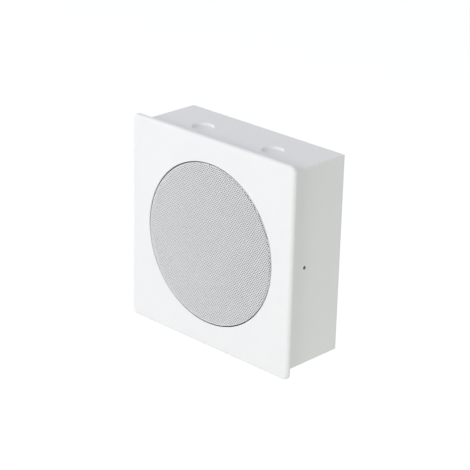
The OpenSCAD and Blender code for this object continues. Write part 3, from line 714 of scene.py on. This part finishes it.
@dataclass
class Grille(Assembly):
    """Drawn perforated sheet: flange, wall, bend and dome, with dust cloth behind it."""

    sheet: float = 0.0006
    rim_radius: float = 0.0759
    bend_radius: float = 0.0022
    dome_radius: float = 0.85
    flange_fold: float = 0.0006
    fold_bulge: float = 0.3
    pitch: float = 0.002
    hole_diameter: float = 0.00147
    hole_sides: int = 7
    field_radius: float = 0.0772
    hole_margin: float = 0.0002
    line_step: float = 0.004
    arc_step: float = math.radians(1.5)
    ring_step: float = 0.0005
    rings_in_bend: int = 7
    rim_overlap: float = 0.0004
    rim_steps: int = 4
    flat_merge: float = 1e-7
    seam_merge: float = 2e-6
    cloth_sag: float = 0.25
    cloth_rings: int = 24
    cloth_spokes: int = 96
    apex_y: float = field(init=False)
    rear_y: float = field(init=False)
    flange_radius: float = field(init=False)

    def __post_init__(self) -> None:
        """Reads the grille's place from the frame."""
        low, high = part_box("grille")
        self.apex_y, self.rear_y, self.flange_radius = low[1], high[1], high[0]

    @property
    def dome_centre(self) -> float:
        """Y of the dome's centre of curvature."""
        return self.apex_y + self.dome_radius

    @property
    def bend_centre(self) -> tuple[float, float]:
        """Centre of the bend at the grille's edge, as (radius, y)."""
        radius = self.rim_radius - self.bend_radius
        reach = self.dome_radius - self.bend_radius
        return radius, self.dome_centre - math.sqrt(reach**2 - radius**2)

    @property
    def bend_start(self) -> tuple[float, float]:
        """Where the dome turns into the bend, as (arc length, angle)."""
        angle = math.asin(self.bend_centre[0] / (self.dome_radius - self.bend_radius))
        return angle * self.dome_radius, angle

    @property
    def bend_end(self) -> float:
        """Arc length at which the bend turns into the wall."""
        start, angle = self.bend_start
        return start + self.bend_radius * (math.pi / 2 - angle)

    def section(self, arc: float, depth: float) -> tuple[float, float]:
        """Finds a point of the drawn sheet.

        Args:
            arc: Distance from the middle along the front surface.
            depth: Distance below the front surface.

        Returns:
            The point as (radius, y).
        """
        start, first = self.bend_start
        if arc <= start:
            angle, reach = arc / self.dome_radius, self.dome_radius - depth
            return reach * math.sin(angle), self.dome_centre - reach * math.cos(angle)
        angle = min(first + (arc - start) / self.bend_radius, math.pi / 2)
        reach, fall = self.bend_radius - depth, max(arc - self.bend_end, 0.0)
        centre_r, centre_y = self.bend_centre
        return centre_r + reach * math.sin(angle), centre_y - reach * math.cos(angle) + fall

    @property
    def row_gap(self) -> float:
        """Distance between two rows of the staggered pattern."""
        return self.pitch * math.sqrt(3) / 2

    @property
    def levels(self) -> list[float]:
        """Heights between the rows, where the field is parted into strips, and its two ends."""
        count = int(self.field_radius / self.row_gap + 0.5)
        lines = [(k - 0.5) * self.row_gap for k in range(1 - count, count + 1)]
        return [-self.field_radius, *lines, self.field_radius]

    def _line(self, level: float) -> list[Point]:
        """Draws one straight line across the field, with points that follow the bend at its ends.

        Args:
            level: The line's height.

        Returns:
            Its points from left to right, without the ends on the field's edge.
        """
        steps_in = range(1, self.rings_in_bend + 1)
        rings = [self.field_radius - step * self.ring_step for step in steps_in]
        reach = [math.sqrt(ring**2 - level**2) for ring in rings if ring > abs(level)]
        inner = min(reach, default=math.sqrt(max(self.field_radius**2 - level**2, 0.0)))
        steps = max(1, math.ceil(2 * inner / self.line_step))
        middle = [inner * (2 * k / steps - 1) for k in range(1, steps)]
        return [(x, level, 0.0) for x in sorted([-x for x in reach] + middle + reach)]

    def _arc(self, low: float, high: float) -> list[float]:
        """Divides the right-hand edge of the field between two heights.

        Args:
            low: The lower height.
            high: The upper height.

        Returns:
            Angles from the lower to the upper end, both included.
        """
        first, last = math.asin(low / self.field_radius), math.asin(high / self.field_radius)
        steps = math.ceil((last - first) / self.arc_step)
        return [first + (last - first) * k / steps for k in range(steps + 1)]

    @property
    def turns(self) -> list[float]:
        """Angles of every point on the field's edge, all the way round."""
        strips = zip(self.levels, self.levels[1:])
        right = [turn for low, high in strips for turn in self._arc(low, high)[:-1]]
        return right + [turn + math.pi for turn in right]

    def _strips(self) -> Mesh:
        """Draws one closed loop round each row of holes, so that each row is filled on its own.

        Returns:
            The loops, as edges.
        """
        radius = self.field_radius
        points: list[Point] = []
        edges: list[tuple[int, int]] = []
        for low, high in zip(self.levels, self.levels[1:]):
            arc = self._arc(low, high)
            right = [(radius * math.cos(turn), radius * math.sin(turn), 0.0) for turn in arc]
            left = [(-x, y, 0.0) for x, y, _ in reversed(right)]
            if low == -radius:
                right, left = right[1:], left[:-1] + [(0.0, low, 0.0)]
            if high == radius:
                right, left = right[:-1], [(0.0, high, 0.0)] + left[1:]
            under = self._line(low) if low > -radius else []
            over = list(reversed(self._line(high))) if high < radius else []
            loop = under + right + over + left
            first = len(points)
            points += loop
            edges += [(first + k, first + (k + 1) % len(loop)) for k in range(len(loop))]
        mesh = bpy.data.meshes.new("strip_outlines")
        mesh.from_pydata(points, edges, [])
        return mesh

    def _field(self, recipe: Recipe) -> Socket:
        """Makes the flat perforated field: a staggered pattern of holes, cut out of the strips.

        Args:
            recipe: The tree that it is added to.

        Returns:
            The field, one sheet thick, in the XY plane.
        """
        graph, given = recipe.graph, recipe.inputs
        maths = graph.maths
        row_gap = given["Row Gap"]
        across = graph.scaled(given["Pitch"], maths("SUBTRACT", given["Columns"], 1.0))
        up = graph.scaled(row_gap, maths("SUBTRACT", given["Rows"], 1.0))
        grid = graph.result("GeometryNodeMeshGrid", {
            "Size X": across,
            "Size Y": up,
            "Vertices X": given["Columns"],
            "Vertices Y": given["Rows"],
        })
        index = graph.result("GeometryNodeInputIndex")
        odd = maths("MODULO", maths("MODULO", index, given["Rows"]), 2.0)
        shift = graph.scaled(odd, graph.scaled(given["Pitch"], 0.5))
        offset = graph.vector(X=shift)
        points = graph.result("GeometryNodeSetPosition", {"Geometry": grid, "Offset": offset})
        place = graph.result("GeometryNodeInputPosition")
        axes = graph.axes(place)
        distance = graph.vector_maths("LENGTH", place).outputs["Value"]
        reach = maths("ADD", maths("ADD", distance, given["Hole Radius"]), given["Margin"])
        inside = maths("LESS_THAN", reach, given["Field Radius"])
        hole = graph.result("GeometryNodeCurvePrimitiveCircle", {
            "Resolution": given["Hole Sides"], "Radius": given["Hole Radius"],
        })
        holes = recipe.repeat(points, hole, inside)
        real = graph.result("GeometryNodeRealizeInstances", {0: holes})
        strips = graph.result("GeometryNodeMeshToCurve", {"Mesh": given["Drawn"]})
        rows_up = maths("ADD", maths("DIVIDE", axes["Y"], row_gap), given["Rows"])
        row = maths("FLOOR", maths("ADD", rows_up, 0.5))
        lines = {"Curve": graph.joined(real, strips), "Group ID": row}
        filled = graph.result("GeometryNodeFillCurve", lines, mode="TRIANGLES")
        merged = {"Geometry": filled, "Distance": self.flat_merge}
        disc = graph.result("GeometryNodeMergeByDistance", merged)
        raised = graph.result("GeometryNodeExtrudeMesh", {
            "Mesh": disc,
            "Offset": (0.0, 0.0, 1.0),
            "Offset Scale": given["Sheet"],
            "Individual": False,
        }, mode="FACES")
        under = graph.result("GeometryNodeFlipFaces", {"Mesh": disc})
        closed = {"Geometry": graph.joined(raised, under), "Distance": SAME_POINT}
        return graph.result("GeometryNodeMergeByDistance", closed)

    def _drawn(self, recipe: Recipe, flat: Socket) -> Socket:
        """Draws the flat field over the dome and into the bend, hole by hole as a press does.

        Args:
            recipe: The tree that it is added to.
            flat: The flat field.

        Returns:
            The drawn field, with its axis along Y.
        """
        graph, given = recipe.graph, recipe.inputs
        maths = graph.maths
        place = graph.result("GeometryNodeInputPosition")
        axes = graph.axes(place)
        plane = graph.vector(X=axes["X"], Y=axes["Y"])
        arc = graph.vector_maths("LENGTH", plane).outputs["Value"]
        safe = maths("MAXIMUM", arc, ABOVE_ZERO)
        start, first = given["Bend Start"], given["Bend Angle"]
        on_bend = maths("GREATER_THAN", arc, start)
        past = maths("MAXIMUM", maths("SUBTRACT", arc, start), 0.0)
        full_turn = maths("ADD", first, maths("DIVIDE", past, given["Bend Radius"]))
        bend_turn = maths("MINIMUM", full_turn, math.pi / 2)
        fall = maths("MAXIMUM", maths("SUBTRACT", arc, given["Bend End"]), 0.0)
        dome_turn = maths("DIVIDE", arc, given["Dome Radius"])

        def chosen(bend: Value, dome: Value) -> Socket:
            """Takes the bend's value past its start, and the dome's before it."""
            return graph.mixed_number(on_bend, dome, bend)

        angle = chosen(bend_turn, dome_turn)
        reach = maths("SUBTRACT", chosen(given["Bend Radius"], given["Dome Radius"]), axes["Z"])
        centre_r = chosen(given["Bend Centre"], 0.0)
        centre_y = chosen(given["Bend Y"], given["Dome Y"])
        radius = maths("ADD", centre_r, graph.scaled(reach, maths("SINE", angle)))
        level = maths("SUBTRACT", centre_y, graph.scaled(reach, maths("COSINE", angle)))
        stretch = maths("DIVIDE", radius, safe)
        moved = graph.vector(
            X=graph.scaled(axes["X"], stretch),
            Y=maths("ADD", level, fall),
            Z=graph.scaled(axes["Y"], stretch),
        )
        return graph.result("GeometryNodeSetPosition", {"Geometry": flat, "Position": moved})

    def _perforated(self, material: Material) -> Mesh:
        """Builds the perforated part of the sheet.

        Args:
            material: What it is coated with.

        Returns:
            Its mesh, open where the plain rim joins it.
        """
        start, angle = self.bend_start
        centre_r, centre_y = self.bend_centre
        recipe = Recipe("perforated_field", {
            "Pitch": self.pitch,
            "Hole Radius": self.hole_diameter / 2,
            "Hole Sides": self.hole_sides,
            "Columns": 2 * math.ceil(self.field_radius / self.pitch) + 1,
            "Rows": 2 * math.ceil(self.field_radius / self.row_gap) + 1,
            "Row Gap": self.row_gap,
            "Field Radius": self.field_radius,
            "Margin": self.hole_margin,
            "Sheet": self.sheet,
            "Dome Radius": self.dome_radius,
            "Dome Y": self.dome_centre,
            "Bend Radius": self.bend_radius,
            "Bend Start": start,
            "Bend Angle": angle,
            "Bend End": self.bend_end,
            "Bend Centre": centre_r,
            "Bend Y": centre_y,
            "Material": material,
        }, self._strips())
        recipe.finish(self._drawn(recipe, self._field(recipe)))
        return recipe.mesh()

    def _plain_rim(self) -> bmesh.types.BMesh:
        """Builds the unperforated rim: rest of the bend, wall and flange.

        Returns:
            The rim, open at its inner edge.
        """
        wall_end, steps = self.bend_end + self.rim_overlap, self.rim_steps
        run = (wall_end - self.field_radius) / steps
        arcs = [self.field_radius + run * k for k in range(steps + 1)]
        outside = [self.section(arc, 0.0) for arc in arcs]
        inside = [self.section(arc, self.sheet) for arc in reversed(arcs)]
        front_y, wall, fold = self.rear_y - self.sheet, self.rim_radius, self.flange_fold
        inner, edge, soft = wall - self.sheet, self.flange_radius, self.sheet / 4
        bulge = self.fold_bulge * fold
        foot = [
            (wall, front_y - fold),
            (wall + bulge, front_y - bulge),
            (wall + fold, front_y),
            (edge - soft, front_y),
            (edge, front_y + soft),
            (edge, self.rear_y - soft),
            (edge - soft, self.rear_y),
            (inner + 2 * fold, self.rear_y),
            (inner + 2 * bulge, self.rear_y - 2 * bulge),
            (inner, self.rear_y - 2 * fold),
        ]
        return revolve(outside + foot + inside, self.turns)

    def build(self) -> None:
        """Makes the perforated grille and its dust cloth, in place of their plain solids."""
        material = self.finishes.get(Finishes.GRILLE_COAT)
        shell = self._plain_rim()
        shell.from_mesh(self._perforated(material))
        bmesh.ops.remove_doubles(shell, verts=shell.verts, dist=self.seam_merge)
        inner = [
            face for face in shell.faces
            if sum(len(edge.link_faces) == 3 for edge in face.edges) > 1
        ]
        bmesh.ops.delete(shell, geom=inner, context="FACES")
        open_edges = sum(len(edge.link_faces) != 2 for edge in shell.edges)
        log.info("the grille's shell has %d open edges", open_edges)
        mesh = sealed(shell, "perforated_grille", material)
        grille = add_piece("perforated_grille", mesh, SPEAKER_BODY, smooth_deg=50.0)
        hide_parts("grille")
        self._cloth()

    def _cloth(self) -> None:
        """Stretches the dust cloth over the grille's flange, with a slight sag inwards."""
        low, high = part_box("grille_cloth")
        radius, front, rear = high[0], low[1], high[1]
        span = self.rim_radius - self.sheet
        sag = (rear - front) * self.cloth_sag

        def dip(at: float) -> float:
            """Gives how far the cloth's front lies back at a radius."""
            return sag * max(0.0, 1 - (at / span) ** 2)

        radii = [radius * k / self.cloth_rings for k in range(self.cloth_rings + 1)]
        face = [(at, front + dip(at)) for at in radii]
        back = [(at, rear) for at in reversed(radii)]
        turns = [2 * math.pi * k / self.cloth_spokes for k in range(self.cloth_spokes)]
        shell = revolve(face + back, turns)
        mesh = sealed(shell, "dust_cloth", self.finishes.get(Finishes.DUST_CLOTH))
        cloth = add_piece("dust_cloth", mesh, SPEAKER_BODY)
        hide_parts("grille_cloth")


@dataclass
class Hardware(Assembly):
    """Weld studs, clamps and nuts that hold the driver against the panel."""

    coats = {
        "weld_studs": Finishes.ZINC,
        "driver_clamps": Finishes.ZINC,
        "clamp_nuts": Finishes.ZINC,
    }
    stud_place: float = 0.06258
    stud_radius: float = 0.002
    thread_pitch: float = 0.0007
    thread_depth: float = 0.00014
    thread_sides: int = 4
    steps_a_turn: int = 14
    plain_length: float = 0.0015

    def build(self) -> None:
        """Cuts a thread on each stud: a helical ridge, repeated by instances."""
        low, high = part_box("weld_studs")
        length = high[1] - low[1] - 2 * self.plain_length
        recipe = Recipe("stud_thread", {
            "Stud Place": 2 * self.stud_place,
            "Turns": length / self.thread_pitch,
            "Thread Radius": self.stud_radius - self.thread_depth / 2,
            "Length": length,
            "Ridge": self.thread_depth,
            "First Y": high[1] - self.plain_length / 2,
            "Material": self.finishes.get(Finishes.ZINC),
        })
        graph, given = recipe.graph, recipe.inputs
        helix = graph.result("GeometryNodeCurveSpiral", {
            "Resolution": self.steps_a_turn,
            "Rotations": given["Turns"],
            "Start Radius": given["Thread Radius"],
            "End Radius": given["Thread Radius"],
            "Height": given["Length"],
        })
        ridge = recipe.tube(helix, self.thread_sides, given["Ridge"], capped=True)
        corners = graph.result("GeometryNodeMeshGrid", {
            "Size X": given["Stud Place"],
            "Size Y": given["Stud Place"],
            "Vertices X": 2,
            "Vertices Y": 2,
        })
        seated = graph.result("GeometryNodeSetPosition", {
            "Geometry": recipe.upright(corners), "Offset": graph.vector(Y=given["First Y"]),
        })
        recipe.finish(recipe.repeat(seated, recipe.upright(ridge)))
        add_piece("stud_threads", recipe.mesh(), SPEAKER_BODY, smooth_deg=30.0)


@dataclass
class Driver(Assembly):
    """Paper cone driver: basket, moving parts, motor and terminals."""

    coats = {
        "driver_gasket": Finishes.GASKET,
        "basket": Finishes.BASKET_PAINT,
        "surround": Finishes.SURROUND,
        "cone": Finishes.CONE,
        "dust_cap": Finishes.CONE,
        "spider": Finishes.SPIDER,
        "coil_former": Finishes.FORMER,
        "voice_coil": Finishes.COPPER,
        "top_plate": Finishes.PLATED_IRON,
        "magnet": Finishes.FERRITE,
        "yoke": Finishes.PLATED_IRON,
        "terminal_board": Finishes.PHENOLIC,
        "board_rivets": Finishes.BRASS,
        "solder_tags": Finishes.BRASS,
        "tinsel_leads": Finishes.TINSEL,
    }
    lead_start: Point = (0.0, 0.0, -0.060)
    lead_end: Point = (0.0, 0.0, -0.029)

    def build(self) -> None:
        """Makes the tinsel leads again, as a piece of their own that rides on no body."""
        made = bmesh.new()
        made.from_mesh(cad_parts["tinsel_leads"].data)
        bmesh.ops.remove_doubles(made, verts=made.verts, dist=SAME_POINT)
        mesh = sealed(made, "bending_leads", self.finishes.get(Finishes.TINSEL))
        leads = add_piece("bending_leads", mesh, None)
        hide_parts("tinsel_leads")
        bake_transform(leads)


@dataclass
class Transformer(Assembly):
    """Line transformer on the rear wall: core, bobbin, coil, strap and screws."""

    coats = {
        "transformer_core": Finishes.LAMINATION,
        "transformer_bobbin": Finishes.NYLON,
        "transformer_coil": Finishes.COPPER,
        "transformer_strap": Finishes.ZINC,
        "transformer_screws": Finishes.ZINC,
    }
    turn_gap: float = 0.0007
    corner: float = 0.0012
    corner_steps: int = 3
    wire_sides: int = 6

    def build(self) -> None:
        """Winds wire round the coil: one rounded turn, repeated along Y by instances."""
        low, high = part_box("transformer_coil")
        middle = (low + high) / 2
        count = int((high[1] - low[1]) / self.turn_gap)
        recipe = Recipe("coil_turns", {
            "Width": high[0] - low[0] - self.turn_gap,
            "Depth": high[2] - low[2] - self.turn_gap,
            "Corner": self.corner,
            "Wire": self.turn_gap / 2,
            "Turns": count,
            "Gap": self.turn_gap,
            "First Y": middle[1] - (count - 1) * self.turn_gap / 2,
            "Centre X": middle[0],
            "Centre Z": middle[2],
            "Material": self.finishes.get(Finishes.COPPER),
        })
        graph, given = recipe.graph, recipe.inputs
        outline = graph.result("GeometryNodeCurvePrimitiveQuadrilateral", {
            "Width": given["Width"], "Height": given["Depth"],
        })
        rounded = graph.result("GeometryNodeFilletCurve", {
            "Curve": outline, "Count": self.corner_steps, "Radius": given["Corner"],
        }, mode="POLY")
        turn = recipe.upright(recipe.tube(rounded, self.wire_sides, given["Wire"]))
        start = graph.vector(X=given["Centre X"], Y=given["First Y"], Z=given["Centre Z"])
        step = graph.vector(Y=given["Gap"])
        line = graph.result("GeometryNodeMeshLine", {
            "Count": given["Turns"], "Start Location": start, "Offset": step,
        })
        recipe.finish(recipe.repeat(line, turn))
        add_piece("coil_turns", recipe.mesh(), SPEAKER_BODY, smooth_deg=60.0)


class Terminals(Assembly):
    """Terminal block on the rear wall and the wires inside the box."""

    coats = {
        "terminal_block": Finishes.NYLON,
        "terminal_tubes": Finishes.BRASS,
        "terminal_screws": Finishes.ZINC,
        "block_screws": Finishes.ZINC,
        "line_leads": Finishes.RED_WIRE,
        "speaker_leads": Finishes.BLACK_WIRE,
    }


@dataclass(frozen=True)
class Lamp:
    """One soft rectangular lamp aimed at the speaker."""

    name: str
    place: Point
    size: float
    watts: float
    colour: Colour

    def add(self, target: Vector) -> None:
        """Puts the lamp in the scene.

        Args:
            target: The point that it is aimed at.
        """
        data = bpy.data.lights.new(self.name, "AREA")
        data.shape, data.size = "SQUARE", self.size
        data.energy, data.color = self.watts, self.colour
        made = placed(self.name, data)
        made.location = self.place
        made.rotation_euler = (target - Vector(self.place)).to_track_quat("-Z", "Y").to_euler()
        made.visible_camera = False


@dataclass
class Studio:
    """Plain pale studio: camera at the photograph's angle, floor, sky and soft lamps."""

    azimuth_deg: float = 43.712
    elevation_deg: float = 22.158
    roll_deg: float = 1.438
    camera_place: Point = (1.02369, -1.10971, 0.60357)
    focal_mm: float = 135.19
    sensor_mm: float = 36.0
    clip_start: float = 0.05
    clip_end: float = 50.0
    floor_drop: float = 0.35
    floor_size: float = 12.0
    floor_tone: float = 0.86
    floor_shadow_tone: float = 0.3
    floor_glow: float = 0.82
    sky_strength: float = 0.545
    sky_colour: Colour = (0.965, 0.993, 1.042)
    lamps: tuple[Lamp, ...] = (
        Lamp("left_lamp", (-2.57, -1.41, 0.73), 0.8, 12.0, (1.02, 1.02, 0.95)),
        Lamp("front_lamp", (-0.95, -2.65, 1.12), 0.8, 10.8, (1.03, 0.97, 1.04)),
        Lamp("right_lamp", (0.73, -2.76, 1.03), 0.8, 19.2, (1.01, 1.02, 0.95)),
        Lamp("low_bounce", (0.6, -0.1, -0.35), 0.3, 0.21, (1.1, 1.25, 0.15)),
    )

    def build(self) -> None:
        """Makes the whole studio."""
        self._camera()
        self._floor()
        self._sky()
        low, high = CAD_BOX
        for lamp in self.lamps:
            lamp.add((low + high) / 2)
        bpy.context.scene.view_settings.view_transform = "Standard"

    def _camera(self) -> None:
        """Stands the camera where the photograph was taken from."""
        data = bpy.data.cameras.new("photo_camera")
        data.lens, data.sensor_width = self.focal_mm, self.sensor_mm
        data.clip_start, data.clip_end = self.clip_start, self.clip_end
        camera = placed("photo_camera", data)
        aim = Matrix.Translation(self.camera_place)
        turns = (self.azimuth_deg, "Z"), (90.0 - self.elevation_deg, "X"), (self.roll_deg, "Z")
        for angle, axis in turns:
            aim @= Matrix.Rotation(math.radians(angle), 4, axis)
        camera.matrix_world = aim
        bpy.context.scene.camera = camera

    @staticmethod
    def _seen(graph: Graph) -> Socket:
        """Gives 1 for rays that show the surroundings: from the camera, a gloss or a glass."""
        path = graph.add("ShaderNodeLightPath").outputs
        seen = graph.maths("MAXIMUM", path["Is Camera Ray"], path["Is Glossy Ray"])
        return graph.maths("MAXIMUM", seen, path["Is Transmission Ray"])

    def _floor(self) -> None:
        """Lays a floor well below the speaker, which looks white and still takes its shadow."""
        half, level = self.floor_size / 2, CAD_BOX[0][2] - self.floor_drop
        mesh = bpy.data.meshes.new("studio_floor")
        corners = [(-half, -half), (half, -half), (half, half), (-half, half)]
        mesh.from_pydata([(x, y, level) for x, y in corners], [], [(0, 1, 2, 3)])
        floor = placed("studio_floor", mesh)
        paint = bpy.data.materials.new("studio_floor_paint")
        graph = Graph.of(paint)
        lit, shown = (
            graph.add("ShaderNodeBsdfDiffuse", {"Color": (tone, tone, tone, 1.0)})
            for tone in (self.floor_tone, self.floor_shadow_tone)
        )
        glow = graph.add("ShaderNodeEmission", {"Color": WHITE, "Strength": self.floor_glow})
        both = graph.add("ShaderNodeAddShader", {0: shown.outputs[0], 1: glow.outputs[0]})
        surface = graph.mixed_shader(self._seen(graph), lit, both)
        graph.add("ShaderNodeOutputMaterial", {"Surface": surface.outputs[0]})
        mesh.materials.append(paint)

    def _sky(self) -> None:
        """Lights the room evenly, and shows it as plain white."""
        world = bpy.data.worlds.new("studio_sky")
        graph = Graph.of(world)
        tint = {"Color": (*self.sky_colour, 1.0), "Strength": self.sky_strength}
        even = graph.add("ShaderNodeBackground", tint)
        white = graph.add("ShaderNodeBackground", {"Color": WHITE, "Strength": 1.0})
        surface = graph.mixed_shader(self._seen(graph), even, white)
        graph.add("ShaderNodeOutputWorld", {"Surface": surface.outputs[0]})
        bpy.context.scene.world = world


def main() -> None:
    """Builds the studio and every sub-assembly, in order."""
    logging.basicConfig(level=logging.INFO, format="%(name)s: %(message)s")
    finishes = Finishes()
    Studio().build()
    for kind in (Cabinet, Grille, Hardware, Driver, Transformer, Terminals):
        assembly = kind(finishes)
        assembly.dress()
        assembly.build()


if __name__ == "__main__":
    main()
